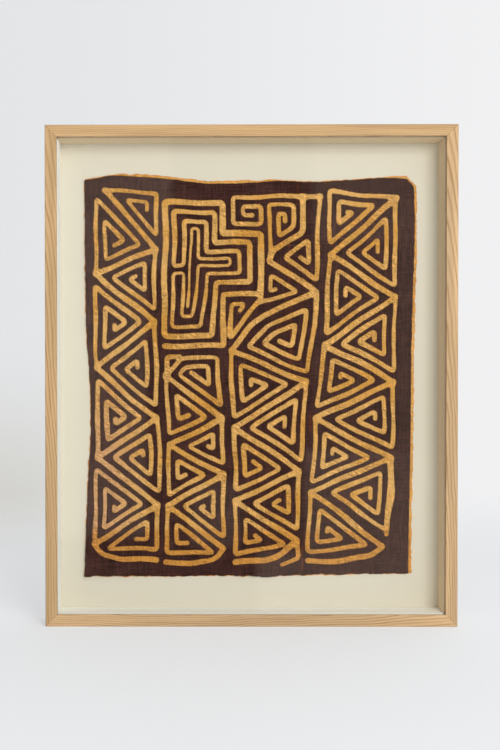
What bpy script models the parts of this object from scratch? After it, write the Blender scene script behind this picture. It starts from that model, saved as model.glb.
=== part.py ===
# A sewn cloth panel of two cottons, mounted under glass in a deep oak box frame that stands on its lower rail.
# The picture side faces -Y, +Z is up, and the lower rail's underside lies on z = 0.

import math

import bmesh
import bpy
import numpy as np
from mathutils import Vector
from mathutils.geometry import delaunay_2d_cdt

MM = 0.001

# Frame: outside size, and the section of one rail
FRAME_WIDE = 526.0
FRAME_HIGH = 640.0
FRAME_DEEP = 40.0
FACE = 15.0
WALL = 9.0
LIP_THICK = 4.0
EASED = 0.8
JOINT_GAP = 0.15

# What stands behind the lip, from the front to the back
GAP = 0.3
GLASS_THICK = 2.0
SPACER_DEEP = 27.0
SPACER_PAST_LIP = 1.5
MOUNT_THICK = 1.5
BACKING_THICK = 2.5
EDGE_PLAY = 0.4

# The cloth: its place in the frame, its two layers and its lines
CLOTH_LEFT = -216.0
CLOTH_LOW = 57.0
LAYER_THICK = 1.0
PITCH = 12.0
COIL_WIDE = 5.7
SPINE_WIDE = 7.0
FRET_WIDE = 8.4
FRET_NARROW = 3.6
HOOK_END_WIDE = 4.6
CORNER_ROUND = 3.0
WOBBLE = 0.9
STEP_ALONG_EDGE = 18.0

# The dark cloth's four edges, as points in mm from the cloth's lower left corner.
# Columns: across, up, how far the ochre cloth shows past the dark one there
TOP_EDGE = [
    (0.5, 519.0, 1.5),
    (20.0, 522.0, 1.8),
    (38.0, 525.0, 1.5),
    (75.0, 523.0, 4.0),
    (112.0, 520.0, 3.5),
    (140.0, 516.5, 4.2),
    (165.0, 514.0, 4.0),
    (215.0, 515.0, 3.4),
    (255.0, 517.5, 1.8),
    (300.0, 516.0, 1.2),
    (350.0, 518.5, 1.5),
    (390.0, 521.5, 1.6),
    (421.0, 520.0, 4.0),
]
RIGHT_EDGE = [
    (430.5, 510.0, 3.4),
    (431.6, 470.0, 2.8),
    (431.4, 440.0, 3.4),
    (429.0, 370.0, 4.2),
    (427.2, 290.0, 4.0),
    (426.4, 180.0, 4.0),
    (424.6, 80.0, 4.2),
    (423.5, 5.0, 4.6),
]
BOTTOM_EDGE = [
    (422.0, 4.6, 1.2),
    (370.0, 4.0, 1.0),
    (300.0, 2.8, 1.4),
    (235.0, 0.5, 1.0),
    (180.0, 1.5, 1.2),
    (120.0, 0.2, 1.0),
    (60.0, 1.0, 1.2),
    (0.5, 0.4, 1.0),
]
LEFT_EDGE = [
    (0.0, 2.0, 0.6),
    (2.0, 60.0, 0.8),
    (5.5, 140.0, 0.8),
    (8.2, 180.0, 1.0),
    (8.0, 240.0, 1.0),
    (3.0, 320.0, 0.8),
    (1.6, 400.0, 0.8),
    (1.0, 480.0, 0.8),
    (0.4, 517.0, 0.8),
]

# Zigzag of each column, from the top down, and the tail that ends it. Columns: across, up
FIRST_ZIGZAG = [
    (27, 507),
    (93, 430),
    (14, 397),
    (91.5, 333),
    (16, 273),
    (95, 207),
    (17, 156),
    (95, 94),
    (13, 42),
]
FIRST_TAIL = [(21, 29), (48, 22), (94, 22)]
SECOND_ZIGZAG = [(106, 263), (180, 208), (112, 173), (181, 133), (109, 92), (183, 38)]
SECOND_TAIL = [(172, 23), (142, 17), (106, 20)]
SECOND_HEAD = [(106, 263), (107, 289), (124, 290)]
GATE, POST, ELBOW = (285, 497), (288, 451), (245, 427)
THIRD_LEG = [(241, 414), (304, 372), (280, 361), (258, 353), (236, 341), (215, 326)]
THIRD_ZIGZAG = [(191, 296), (291, 256), (197, 196), (281, 139), (197, 99), (279, 46)]
THIRD_TAIL = [(255, 27), (235, 20), (199, 18)]
THIRD_HOOK = [(279, 46), (281, 24), (258, 16)]
FOURTH_ZIGZAG = [
    (408, 494),
    (322, 421),
    (405, 367),
    (314, 304),
    (405, 256),
    (304, 207),
    (402, 154),
    (296, 111),
    (390, 40),
]
FOURTH_TAIL = [(373, 27), (335, 21), (293, 21)]
WIDE_SIDE = [(400, 150), (404, 108), (396, 56)]

# Cells that the zigzags' bends don't give, or not in their shape: their corners, how many sides lie on them,
# and where the line comes in from
CELLS = [
    {"corners": [(27, 507), (94, 501), (93, 430)], "free": 2},
    {"corners": [(14, 397), (17, 514), (93, 430)], "free": 1},
    {"corners": [(95, 207), (101, 160), (95, 98), (17, 156)], "free": 2},
    {"corners": [(95, 94), (94, 23), (-8, 26)], "free": 1},
    {"corners": [(106, 263), (126, 288), (174, 286), (180, 208)], "free": 3},
    {"corners": [(109, 92), (106, 20), (205, 20)], "free": 1},
    {"corners": [(230, 497), (194, 497), (194, 461), (230, 461)], "free": 4, "start": (307, 497)},
    {"corners": [(244, 424), (240, 498), (285, 497), (288, 451)], "free": 1},
    {"corners": [(307, 466), (304, 373), (241, 418)], "free": 1, "start": (307, 497)},
    {"corners": [(231, 360), (293, 376), (231, 420)], "free": 1},
    {"corners": [(236, 368), (176, 297), (182, 371)], "free": 1, "start": (232, 364)},
    {"corners": [(304, 367), (291, 256), (191, 296), (236, 340)], "free": 1},
    {"corners": [(197, 99), (199, 16), (292, 36)], "free": 1},
    {"corners": [(409, 496), (319, 504), (322, 421)], "free": 2},
    {"corners": [(401, 154), (396, 48), (296, 111)], "free": 1},
    {"corners": [(296, 111), (293, 20), (400, 34)], "free": 1},
]

# Chart of the fret: each column's place above and below the step of its foot, each row's height, and the
# line's corners, as column and row
FRET_COLUMNS = [
    (105.5, 105.5),
    (117, 116),
    (130, 128),
    (140, 135),
    (149, 142),
    (160, 153),
    (171, 167),
    (181, 181),
    (192, 192),
    (204, 204),
    (217, 217),
    (231, 231),
]
FRET_ROWS = [303, 316, 328, 341, 353, 371, 386, 397, 407, 416, 425, 437, 448.5, 457, 466, 478, 490]
FOOT_ROWS = 6
FRET_OUTER = [(11, 5), (11, 12), (7, 12), (7, 16), (0, 16), (0, 1), (6, 1), (6, 6), (10, 6), (10, 11), (6, 11)]
FRET_MIDDLE = [(6, 15), (1, 15), (1, 8), (2, 8), (2, 14), (5, 14), (5, 10), (9, 10), (9, 7), (5, 7), (5, 2)]
FRET_INNER = [(1, 2), (1, 7), (2, 7), (2, 3), (4, 3), (4, 8), (8, 8), (8, 9), (4, 9), (4, 13), (3, 13), (3, 4)]
FRET_FOOT = [(0, 0), (7, 0), (7, 5), (11, 5)]

for old in list(bpy.data.objects):
    bpy.data.objects.remove(old)


def material(name, colour, rough, alpha=1.0):
    made = bpy.data.materials.new(name)
    made.use_nodes = True
    shader = made.node_tree.nodes["Principled BSDF"]
    shader.inputs["Base Color"].default_value = (*colour, 1.0)
    shader.inputs["Roughness"].default_value = rough
    shader.inputs["Metallic"].default_value = 0.0
    shader.inputs["Alpha"].default_value = alpha
    return made


OAK = material("oak", (0.60, 0.38, 0.18), 0.5)
GLASS = material("glass", (0.85, 0.92, 0.90), 0.05, 0.2)
CREAM_BOARD = material("cream_board", (0.76, 0.71, 0.56), 0.85)
HARDBOARD = material("hardboard", (0.32, 0.20, 0.11), 0.8)
OCHRE_COTTON = material("ochre_cotton", (0.64, 0.35, 0.11), 0.9)
DARK_COTTON = material("dark_cotton", (0.045, 0.018, 0.015), 0.9)


def add_node(name, verts, faces, surface):
    """One closed body, its points given in mm."""
    mesh = bpy.data.meshes.new(name)
    mesh.from_pydata([Vector(v) * MM for v in verts], [], faces)
    body = bmesh.new()
    body.from_mesh(mesh)
    bmesh.ops.triangulate(body, faces=body.faces[:])
    bmesh.ops.recalc_face_normals(body, faces=body.faces[:])
    if body.calc_volume(signed=True) < 0:
        bmesh.ops.reverse_faces(body, faces=body.faces[:])
    body.to_mesh(mesh)
    body.free()
    mesh.materials.append(surface)
    made = bpy.data.objects.new(name, mesh)
    bpy.context.scene.collection.objects.link(made)
    return made


def add_box(name, x, y, z, surface):
    """A plain board or strip between two x, two y and two z values."""
    corners = [(a, b, c) for a in x for b in y for c in z]
    faces = [(0, 1, 3, 2), (4, 6, 7, 5), (0, 4, 5, 1), (2, 3, 7, 6), (0, 2, 6, 4), (1, 5, 7, 3)]
    add_node(name, corners, faces, surface)


# Rails: an L section, mitred at 45 degrees, with the lip in front of the glass
front = -FRAME_DEEP / 2
back = FRAME_DEEP / 2
SECTION = [
    (0.0, back),
    (0.0, front + EASED),
    (EASED, front),
    (FACE - EASED, front),
    (FACE, front + EASED),
    (FACE, front + LIP_THICK),
    (WALL, front + LIP_THICK),
    (WALL, back),
]


def add_rail(name, length, place):
    """A mitred rail. place turns (distance along, distance in from the outside, depth) into x, y, z."""
    ends = []
    for inward, depth in SECTION:
        ends.append((inward + JOINT_GAP, inward, depth))
    for inward, depth in SECTION:
        ends.append((length - inward - JOINT_GAP, inward, depth))
    n = len(SECTION)
    sides = [(i, (i + 1) % n, (i + 1) % n + n, i + n) for i in range(n)]
    caps = [tuple(range(n)), tuple(range(2 * n - 1, n - 1, -1))]
    add_node(name, [place(*p) for p in ends], sides + caps, OAK)


half = FRAME_WIDE / 2
add_rail("rail_bottom", FRAME_WIDE, lambda s, d, y: (s - half, y, d))
add_rail("rail_top", FRAME_WIDE, lambda s, d, y: (s - half, y, FRAME_HIGH - d))
add_rail("rail_left", FRAME_HIGH, lambda s, d, y: (d - half, y, s))
add_rail("rail_right", FRAME_HIGH, lambda s, d, y: (half - d, y, s))

# Glass, spacers, mount board and backing board, each behind the last
rebate_x = (-half + WALL + EDGE_PLAY, half - WALL - EDGE_PLAY)
rebate_z = (WALL + EDGE_PLAY, FRAME_HIGH - WALL - EDGE_PLAY)
sight_x = (-half + FACE + SPACER_PAST_LIP, half - FACE - SPACER_PAST_LIP)
sight_z = (FACE + SPACER_PAST_LIP, FRAME_HIGH - FACE - SPACER_PAST_LIP)

glass_front = front + LIP_THICK + GAP
glass_back = glass_front + GLASS_THICK
add_box("glass_pane", rebate_x, (glass_front, glass_back), rebate_z, GLASS)

spacer_y = (glass_back + GAP, glass_back + GAP + SPACER_DEEP)
add_box("spacer_bottom", rebate_x, spacer_y, (rebate_z[0], sight_z[0]), CREAM_BOARD)
add_box("spacer_top", rebate_x, spacer_y, (sight_z[1], rebate_z[1]), CREAM_BOARD)
between = (sight_z[0] + GAP, sight_z[1] - GAP)
add_box("spacer_left", (rebate_x[0], sight_x[0]), spacer_y, between, CREAM_BOARD)
add_box("spacer_right", (sight_x[1], rebate_x[1]), spacer_y, between, CREAM_BOARD)

mount_front = spacer_y[1] + GAP
mount_back = mount_front + MOUNT_THICK
add_box("mount_board", rebate_x, (mount_front, mount_back), rebate_z, CREAM_BOARD)
backing_y = (mount_back + GAP, mount_back + GAP + BACKING_THICK)
add_box("backing_board", rebate_x, backing_y, rebate_z, HARDBOARD)


# Lines of the pattern. Each line is worked out as the middle of a narrow slot in the dark cloth
SHORTEST_SIDE = 0.55 * PITCH
SHORTEST_HOOK = 0.25 * PITCH


def coil(corners, free=1, start=None):
    """A line round a polygon's sides and on inwards, one pitch further in each time round. The first
    sides, as many as free says, lie on the polygon itself."""
    c = [np.array(p, float) for p in corners]
    n = len(c)
    area = sum(c[i][0] * c[i - n + 1][1] - c[i - n + 1][0] * c[i][1] for i in range(n))
    turn = 1 if area > 0 else -1

    def side(k):
        times_round = 0 if k < free else 1 + (k - free) // n
        along = c[(k + 1) % n] - c[k % n]
        along = along / np.linalg.norm(along)
        inward = np.array([-along[1], along[0]]) * turn
        return c[k % n] + inward * times_round * PITCH, along

    def corner(k):
        (p, d), (q, e) = side(k - 1), side(k)
        t = ((q - p)[0] * e[1] - (q - p)[1] * e[0]) / (d[0] * e[1] - d[1] * e[0])
        return p + d * t

    line = [np.array(start if start else corners[0], float)]
    k = 1
    while np.dot(corner(k) - line[-1], side(k - 1)[1]) > SHORTEST_SIDE:
        line.append(corner(k))
        k += 1
    rest = np.dot(corner(k) - line[-1], side(k - 1)[1])
    if rest > SHORTEST_HOOK:
        line.append(corner(k))
    return line


def coils_between(spine, left_starts_low):
    """A coil in each cell of a zigzag. A coil on the right starts high. One on the left starts low or high."""
    made = []
    for a, b, c in zip(spine, spine[1:], spine[2:]):
        on_left = a[0] < b[0]
        made.append(coil([c, a, b] if on_left and left_starts_low else [a, c, b]))
    return made


def fret_place(step):
    """The place of one of the fret's corners."""
    column, row = step
    head, foot = FRET_COLUMNS[column]
    return (foot if row < FOOT_ROWS else head, FRET_ROWS[row])


def cloth_lines():
    """Every line of the pattern: its points, its width at the start and its width at the end."""
    coils = coils_between(FIRST_ZIGZAG[1:7], True)
    coils += coils_between(FIRST_ZIGZAG[6:], True)
    coils += coils_between(SECOND_ZIGZAG, False)
    coils.append(SECOND_HEAD)
    coils += coils_between(THIRD_ZIGZAG, False)
    coils += coils_between(FOURTH_ZIGZAG[:8], False)
    for cell in CELLS:
        coils.append(coil(cell["corners"], cell["free"], cell.get("start")))
    spines = [FIRST_ZIGZAG + FIRST_TAIL, SECOND_ZIGZAG + SECOND_TAIL]
    spines += [[GATE, POST, ELBOW, *THIRD_LEG, *THIRD_ZIGZAG, *THIRD_TAIL], FOURTH_ZIGZAG + FOURTH_TAIL]
    lines = [(spine, SPINE_WIDE, SPINE_WIDE) for spine in spines]
    lines += [(line, COIL_WIDE, COIL_WIDE) for line in coils]
    lines.append((THIRD_HOOK, COIL_WIDE, HOOK_END_WIDE))
    lines.append((WIDE_SIDE, COIL_WIDE, COIL_WIDE))
    fret = FRET_OUTER + FRET_MIDDLE + FRET_INNER
    lines.append(([fret_place(step) for step in fret], FRET_WIDE, FRET_NARROW))
    lines.append(([fret_place(step) for step in FRET_FOOT], SPINE_WIDE, SPINE_WIDE))
    return lines


def hand_drawn(p):
    """Slow waves that move a point by about a millimetre, as in lines that are cut by eye."""
    x, y = p
    across = math.sin(x / 19 + y / 31) + 0.8 * math.sin(y / 13 - x / 47 + 1.3)
    up = math.sin(y / 23 - x / 29 + 2.1) + 0.8 * math.sin(x / 11 + y / 53 + 0.4)
    return np.array([x + WOBBLE * across, y + WOBBLE * up])


def with_round_corners(line):
    """The same line, with each corner replaced by a short arc of three points."""
    pts = [hand_drawn(p) for p in line]
    out = [pts[0]]
    for a, b, c in zip(pts, pts[1:], pts[2:]):
        u = (a - b) / np.linalg.norm(a - b)
        w = (c - b) / np.linalg.norm(c - b)
        half_angle = 0.5 * math.acos(max(-1.0, min(1.0, float(np.dot(u, w)))))
        if half_angle > 1.45:
            out.append(b)
            continue
        back_off = CORNER_ROUND / math.tan(half_angle)
        back_off = min(back_off, 0.45 * np.linalg.norm(a - b), 0.45 * np.linalg.norm(c - b))
        radius = back_off * math.tan(half_angle)
        middle = (u + w) / np.linalg.norm(u + w)
        out.append(b + u * back_off)
        out.append(b + middle * (radius / math.sin(half_angle) - radius))
        out.append(b + w * back_off)
    out.append(pts[-1])
    return out


def slot(line, wide_start, wide_end):
    """The slot along a line, as quads with mitred joints and a blunt round end."""
    pts = with_round_corners(line)
    n = len(pts)
    quads = []
    left, right = [], []
    for i, p in enumerate(pts):
        r = 0.5 * (wide_start + (wide_end - wide_start) * i / (n - 1))
        before = pts[i] - pts[i - 1] if i else pts[1] - pts[0]
        after = pts[i + 1] - pts[i] if i < n - 1 else before
        before = before / np.linalg.norm(before)
        after = after / np.linalg.norm(after)
        across = np.array([-before[1] - after[1], before[0] + after[0]])
        across = across / np.linalg.norm(across)
        reach = r / max(0.5, float(np.dot(across, [-after[1], after[0]])))
        left.append(p + across * reach)
        right.append(p - across * reach)
    for i in range(n - 1):
        quads.append([left[i], right[i], right[i + 1], left[i + 1]])
    for p, q, r in ((pts[0], pts[1], wide_start / 2), (pts[-1], pts[-2], wide_end / 2)):
        out = (p - q) / np.linalg.norm(p - q)
        side = np.array([-out[1], out[0]])
        end = [p + (out * 0.8 - side * 0.6) * r, p + (out * 0.8 + side * 0.6) * r]
        quads.append([p + side * r, p - side * r, *end])
    return quads


def smooth_edge(rows, past):
    """Points along one edge of a cloth, curved through the table's rows. past pushes them out by the third
    column."""
    r = [np.array(row, float) for row in rows]
    p = [2 * r[0] - r[1], *r, 2 * r[-1] - r[-2]]
    out = []
    for a, b, c, d in zip(p, p[1:], p[2:], p[3:]):
        steps = max(1, round(float(np.linalg.norm((c - b)[:2])) / STEP_ALONG_EDGE))
        for i in range(steps):
            t = i / steps
            q = b + 0.5 * t * (c - a) + t * t * (a - 2.5 * b + 2 * c - 0.5 * d)
            q = q + t**3 * (1.5 * (b - c) + 0.5 * (d - a))
            out.append((q[0] + past[0] * q[2], q[1] + past[1] * q[2]))
    last = rows[-1]
    out.append((last[0] + past[0] * last[2], last[1] + past[1] * last[2]))
    return out


def cloth_outline(ochre):
    """The closed outline of one of the two cloths, clockwise from its upper left corner."""
    edges = [(TOP_EDGE, (0, 1)), (RIGHT_EDGE, (1, 0)), (BOTTOM_EDGE, (0, -1)), (LEFT_EDGE, (-1, 0))]
    out = []
    for rows, way in edges:
        out += smooth_edge(rows, way if ochre else (0, 0))
    return out


def add_sheet(name, points, triangles, y_front, surface):
    """A flat sheet, LAYER_THICK deep, over a flat net of triangles."""
    n = len(points)
    place = [(x + CLOTH_LEFT, z + CLOTH_LOW) for x, z in points]
    verts = [(x, y_front, z) for x, z in place] + [(x, y_front + LAYER_THICK, z) for x, z in place]
    rim = {}
    for a, b, c in triangles:
        for e in ((a, b), (b, c), (c, a)):
            rim[e] = rim.get((e[1], e[0]), 0) + 1
    for a, b in list(rim):
        if (b, a) in rim:
            rim[(a, b)] = 2
    faces = [tuple(t) for t in triangles] + [(c + n, b + n, a + n) for a, b, c in triangles]
    faces += [(b, a, a + n, b + n) for (a, b), uses in rim.items() if uses == 1]
    add_node(name, verts, faces, surface)


def signed_area(ring):
    return 0.5 * sum(a[0] * b[1] - b[0] * a[1] for a, b in zip(ring, [*ring[1:], ring[0]]))


SLIVER = 0.06
WELD = 0.02


def thickness(triangle):
    """A flat triangle's height over its longest side."""
    longest = max(np.linalg.norm(np.subtract(p, q)) for p, q in zip(triangle, [*triangle[1:], triangle[0]]))
    return 2 * abs(signed_area(triangle)) / max(longest, SLIVER)


def without_folds(quad):
    """A quad as it is, or every triangle of its corners where it is folded over itself, but for slivers."""
    halves = [quad[:3], [quad[0], quad[2], quad[3]]]
    if signed_area(halves[0]) * signed_area(halves[1]) > 0 and min(thickness(h) for h in halves) > SLIVER:
        return [quad]
    others = [quad[1:], [quad[0], quad[1], quad[3]]]
    return [h for h in halves + others if thickness(h) > SLIVER]


def fans_round(corner, triangles):
    """The triangles round one corner, in groups that hang together by an edge."""
    fans = []
    for t in triangles:
        others = set(t) - {corner}
        joined = [fan for fan in fans if fan["corners"] & others]
        whole = {"corners": others, "triangles": [t]}
        for fan in joined:
            whole["corners"] |= fan["corners"]
            whole["triangles"] += fan["triangles"]
            fans.remove(fan)
        fans.append(whole)
    return [fan["triangles"] for fan in fans]


def without_pinches(triangles, points):
    """Drops the smaller of two parts that meet in a single corner, so that no part hangs by a point."""

    def area(fan):
        return sum(abs(signed_area([points[v] for v in t])) for t in fan)

    while True:
        around = {}
        for t in triangles:
            for v in t:
                around.setdefault(v, []).append(t)
        dropped = set()
        for v, here in around.items():
            fans = sorted(fans_round(v, here), key=area)
            for fan in fans[:-1]:
                dropped.update(fan)
        if not dropped:
            return triangles
        triangles = [t for t in triangles if t not in dropped]


def inside_ring(spots, ring):
    """Which of the spots lie inside a closed ring."""
    inside = np.zeros(len(spots), bool)
    for (ax, ay), (bx, by) in zip(ring, [*ring[1:], ring[0]]):
        level = (spots[:, 1] > min(ay, by)) & (spots[:, 1] <= max(ay, by))
        crossing = ax + (spots[level, 1] - ay) / (by - ay) * (bx - ax) if level.any() else 0.0
        inside[level] ^= spots[level, 0] > crossing
    return inside


def net(outline, slots):
    """Triangles over an outline but outside all the slots, as one connected piece."""
    verts = []
    joins = []
    for ring in [outline, *slots]:
        n = len(verts)
        verts += [Vector((float(x), float(y))) for x, y in ring]
        joins += [(n + i, n + (i + 1) % len(ring)) for i in range(len(ring))]
    points, _, cells, _, _, _ = delaunay_2d_cdt(verts, joins, [], 0, WELD, False)
    flat = np.array([tuple(p) for p in points])
    middles = flat[np.array([list(c) for c in cells])].mean(axis=1)
    wanted = inside_ring(middles, outline)
    for ring in slots:
        wanted &= ~inside_ring(middles, ring)
    kept = [tuple(c) for c, good in zip(cells, wanted) if good]
    kept = without_pinches(kept, points)
    owner = list(range(len(kept)))

    def root(i):
        while owner[i] != i:
            owner[i] = owner[owner[i]]
            i = owner[i]
        return i

    seen = {}
    for i, t in enumerate(kept):
        for e in ((t[0], t[1]), (t[1], t[2]), (t[2], t[0])):
            key = (min(e), max(e))
            if key in seen:
                owner[root(i)] = root(seen[key])
            seen[key] = i
    groups = {}
    for i in range(len(kept)):
        groups.setdefault(root(i), []).append(i)
    largest = max(groups.values(), key=len)
    used = sorted({v for i in largest for v in kept[i]})
    renumber = {v: k for k, v in enumerate(used)}
    triangles = [tuple(renumber[v] for v in kept[i]) for i in largest]
    return [tuple(points[v]) for v in used], triangles


ground_front = mount_front - GAP - LAYER_THICK
top_front = ground_front - GAP - LAYER_THICK

points, triangles = net(cloth_outline(True), [])
add_sheet("mola_ground", points, triangles, ground_front, OCHRE_COTTON)

slots = [piece for line, a, b in cloth_lines() for quad in slot(line, a, b) for piece in without_folds(quad)]
points, triangles = net(cloth_outline(False), slots)
add_sheet("mola_top", points, triangles, top_front, DARK_COTTON)
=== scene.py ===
# A sewn panel of dark cotton over ochre cotton, mounted under glass in a deep oak box frame that stands on
# its lower rail. The picture side faces -Y and +Z is up. Lengths are in metres, or in mm where that is said.
import math

import bmesh
import bpy
import numpy as np
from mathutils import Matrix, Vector, noise
from mathutils.geometry import delaunay_2d_cdt


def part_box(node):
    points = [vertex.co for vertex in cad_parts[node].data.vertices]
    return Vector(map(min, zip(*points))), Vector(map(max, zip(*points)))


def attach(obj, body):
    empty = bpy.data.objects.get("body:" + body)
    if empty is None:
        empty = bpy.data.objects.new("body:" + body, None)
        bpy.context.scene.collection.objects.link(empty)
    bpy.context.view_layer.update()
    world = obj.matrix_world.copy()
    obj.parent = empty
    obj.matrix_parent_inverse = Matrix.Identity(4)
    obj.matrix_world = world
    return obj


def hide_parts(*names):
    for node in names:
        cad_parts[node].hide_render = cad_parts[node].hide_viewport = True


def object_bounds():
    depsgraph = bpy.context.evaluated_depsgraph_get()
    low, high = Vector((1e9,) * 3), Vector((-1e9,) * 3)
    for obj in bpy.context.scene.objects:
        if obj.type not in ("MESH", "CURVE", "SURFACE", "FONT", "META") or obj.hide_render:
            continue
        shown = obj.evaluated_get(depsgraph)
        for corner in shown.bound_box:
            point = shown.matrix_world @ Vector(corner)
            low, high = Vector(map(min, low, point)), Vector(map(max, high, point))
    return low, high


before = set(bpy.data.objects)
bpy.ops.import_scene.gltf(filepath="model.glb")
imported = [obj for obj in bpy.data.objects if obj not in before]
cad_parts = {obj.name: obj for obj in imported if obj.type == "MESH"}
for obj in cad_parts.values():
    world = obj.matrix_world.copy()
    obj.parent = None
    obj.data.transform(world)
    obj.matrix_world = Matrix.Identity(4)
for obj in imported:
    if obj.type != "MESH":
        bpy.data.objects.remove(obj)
cad_low, cad_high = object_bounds()
scene = bpy.context.scene
scene.view_settings.view_transform = "Standard"

# Camera. It stands level with the middle of the picture and a little to its left, and looks straight at it.
# The frame's left half fills the view's middle, so the view is shifted to the right.
def in_scene(name, data):
    """An object with its data, linked into the scene."""
    made = bpy.data.objects.new(name, data)
    scene.collection.objects.link(made)
    return made


lens = bpy.data.cameras.new("camera")
lens.lens = 43.5
lens.sensor_width = 36.0
lens.shift_x = 0.10
camera = in_scene("camera", lens)
camera.location = (-0.0916, -1.1742, 0.3333)
camera.rotation_euler = [math.radians(turn) for turn in (89.42, 0.036, 0.281)]
scene.camera = camera


# Floor and studio light. A pale floor that fades out behind the frame, a large soft lamp high on the
# right, and an even pale room all round, which the camera sees as a backdrop that is painted brighter to the
# right, as lit from there, with a painted shadow, as of the frame on a wall, in its lower left corner.
def feed(tree, node, feeds):
    """Gives each named input of a node its value, or links it to another node's socket."""
    for name, value in feeds.items():
        if isinstance(value, bpy.types.NodeSocket):
            tree.links.new(value, node.inputs[name])
        else:
            node.inputs[name].default_value = value


def add(tree, kind, feeds=None, **settings):
    """A new node in a tree, with its settings and what feeds its inputs."""
    made = tree.nodes.new(kind)
    for name, value in settings.items():
        setattr(made, name, value)
    feed(tree, made, feeds or {})
    return made


def maths(tree, operation, *values, clamp=False):
    """The result of a Math node on one, two or three values or sockets."""
    feeds = dict(enumerate(values))
    return add(tree, "ShaderNodeMath", feeds, operation=operation, use_clamp=clamp).outputs[0]


def vector_maths(tree, operation, *values):
    """The vector that a Vector Math node gives for one or two vectors."""
    return add(tree, "ShaderNodeVectorMath", dict(enumerate(values)), operation=operation).outputs["Vector"]


def mix_colour(tree, share, first, second, blend="MIX"):
    """Two colours mixed by a share from 0, all first, to 1, all second."""
    feeds = {0: share, 6: first, 7: second}
    return add(tree, "ShaderNodeMix", feeds, data_type="RGBA", blend_type=blend).outputs[2]


def spread(tree, value, low, high, to_low=0.0, to_high=1.0):
    """A value between low and high, mapped softly to the range from to_low to to_high."""
    feeds = {"Value": value, "From Min": low, "From Max": high, "To Min": to_low, "To Max": to_high}
    return add(tree, "ShaderNodeMapRange", feeds, interpolation_type="SMOOTHSTEP").outputs["Result"]


def parts(tree, vector):
    """The X, Y and Z of a vector."""
    return add(tree, "ShaderNodeSeparateXYZ", {0: vector}).outputs


def own_place(tree):
    """Where a point lies in its piece's own axes."""
    return add(tree, "ShaderNodeTexCoord").outputs["Object"]


def lumps(tree, place, scale, detail=2.0):
    """Noise from 0 to 1, with scale lumps to a metre. Three scales stretch the lumps along the axes."""
    if not isinstance(scale, float):
        place, scale = vector_maths(tree, "MULTIPLY", place, scale), 1.0
    feeds = {"Vector": place, "Scale": scale, "Detail": detail}
    return add(tree, "ShaderNodeTexNoise", feeds).outputs[0]


def mix_shader(tree, share, first, second):
    """Two shader nodes mixed by a share from 0, all first, to 1, all second."""
    return add(tree, "ShaderNodeMixShader", {0: share, 1: first.outputs[0], 2: second.outputs[0]})


def new_material(name):
    """A material with its tree and its Principled shader."""
    made = bpy.data.materials.new(name)
    made.use_nodes = True
    return made, made.node_tree, made.node_tree.nodes["Principled BSDF"]


FLOOR_REACH = 3.0
FLOOR_FADES = (0.25, 1.3)
FLOOR_TONES = [(0.52, 0.54, 0.57, 1), (0.54, 0.56, 0.59, 1)]
FLOOR_GLOW = (0.37, 0.385, 0.40, 1)
floor_mesh = bpy.data.meshes.new("floor")
floor_corners = [(x * FLOOR_REACH, y * FLOOR_REACH, 0.0) for x, y in ((-1, -1), (1, -1), (1, 1), (-1, 1))]
floor_mesh.from_pydata(floor_corners, [], [(0, 1, 2, 3)])
floor = in_scene("floor", floor_mesh)
floor_paint, tree, shader = new_material("pale_floor")
place = own_place(tree)
floor_tone = mix_colour(tree, lumps(tree, place, 3.0), *FLOOR_TONES)
feed(tree, shader, {"Base Color": floor_tone, "Roughness": 0.9})
feed(tree, shader, {"Emission Color": FLOOR_GLOW, "Emission Strength": 1.0})
gone = add(tree, "ShaderNodeBsdfTransparent")
fade = mix_shader(tree, spread(tree, parts(tree, place)["Y"], *FLOOR_FADES), shader, gone)
tree.links.new(fade.outputs[0], tree.nodes["Material Output"].inputs["Surface"])
floor_mesh.materials.append(floor_paint)
floor.visible_glossy = False
floor.visible_transmission = False

ROOM_LIGHT = 0.82
LEFT_LIGHT = (0.42, 0.36, 0.29, 1)
RIGHT_LIGHT = (1.0, 0.985, 0.96, 1)
BACKDROP_LEFT = (0.775, 0.785, 0.80, 1)
BACKDROP_RIGHT = (0.885, 0.885, 0.895, 1)
# Painted shadow in the backdrop's lower left corner, darker and warmer, as the frame's soft shadow on a wall
# behind it
BACKDROP_PAINTED_SHADOW = (0.62, 0.61, 0.57, 1)
# Where one tone of the room turns into the other, as the part of a direction that points across or up
BACKDROP_TURN = (-0.22, 0.42)
SHADOW_CORNER_ACROSS = (0.02, -0.20)
SHADOW_CORNER_UP = (0.04, -0.20)
ROOM_TURN = (-0.9, 0.2)
MIRROR_TINT = (1.0, 0.89, 0.72, 1)
MIRROR_DIM = 0.03
LEAST_AHEAD = 0.05
# What the glass mirrors of the room behind the camera: pale patches with soft edges. Columns: from the
# left to the right edge and from the lower to the upper edge, as slopes from the glass, and how bright
CARDS = [
    {"across": (-0.30, -0.036), "up": (-0.19, 0.40), "bright": 0.34},
    {"across": (-0.30, -0.008), "up": (0.108, 0.40), "bright": 0.38},
    {"across": (0.146, 0.50), "up": (0.135, 0.40), "bright": 0.30},
    {"across": (0.146, 0.50), "up": (-0.50, 0.40), "bright": 0.13},
    {"across": (0.238, 0.50), "up": (-0.50, 0.40), "bright": 0.24},
    {"across": (0.138, 0.50), "up": (-0.50, -0.092), "bright": 0.36},
    {"across": (0.012, 0.068), "up": (-0.20, -0.128), "bright": 0.26},
    {"across": (0.085, 0.50), "up": (-0.50, -0.205), "bright": 0.40},
]
CARD_SOFT = 0.008
room = bpy.data.worlds.new("room")
room.use_nodes = True
scene.world = room
tree = room.node_tree
way = parts(tree, add(tree, "ShaderNodeTexCoord").outputs["Generated"])
# Painted light: the backdrop is painted brighter to the right, as lit from there
backdrop = mix_colour(tree, spread(tree, way["X"], *BACKDROP_TURN), BACKDROP_LEFT, BACKDROP_RIGHT)
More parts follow.
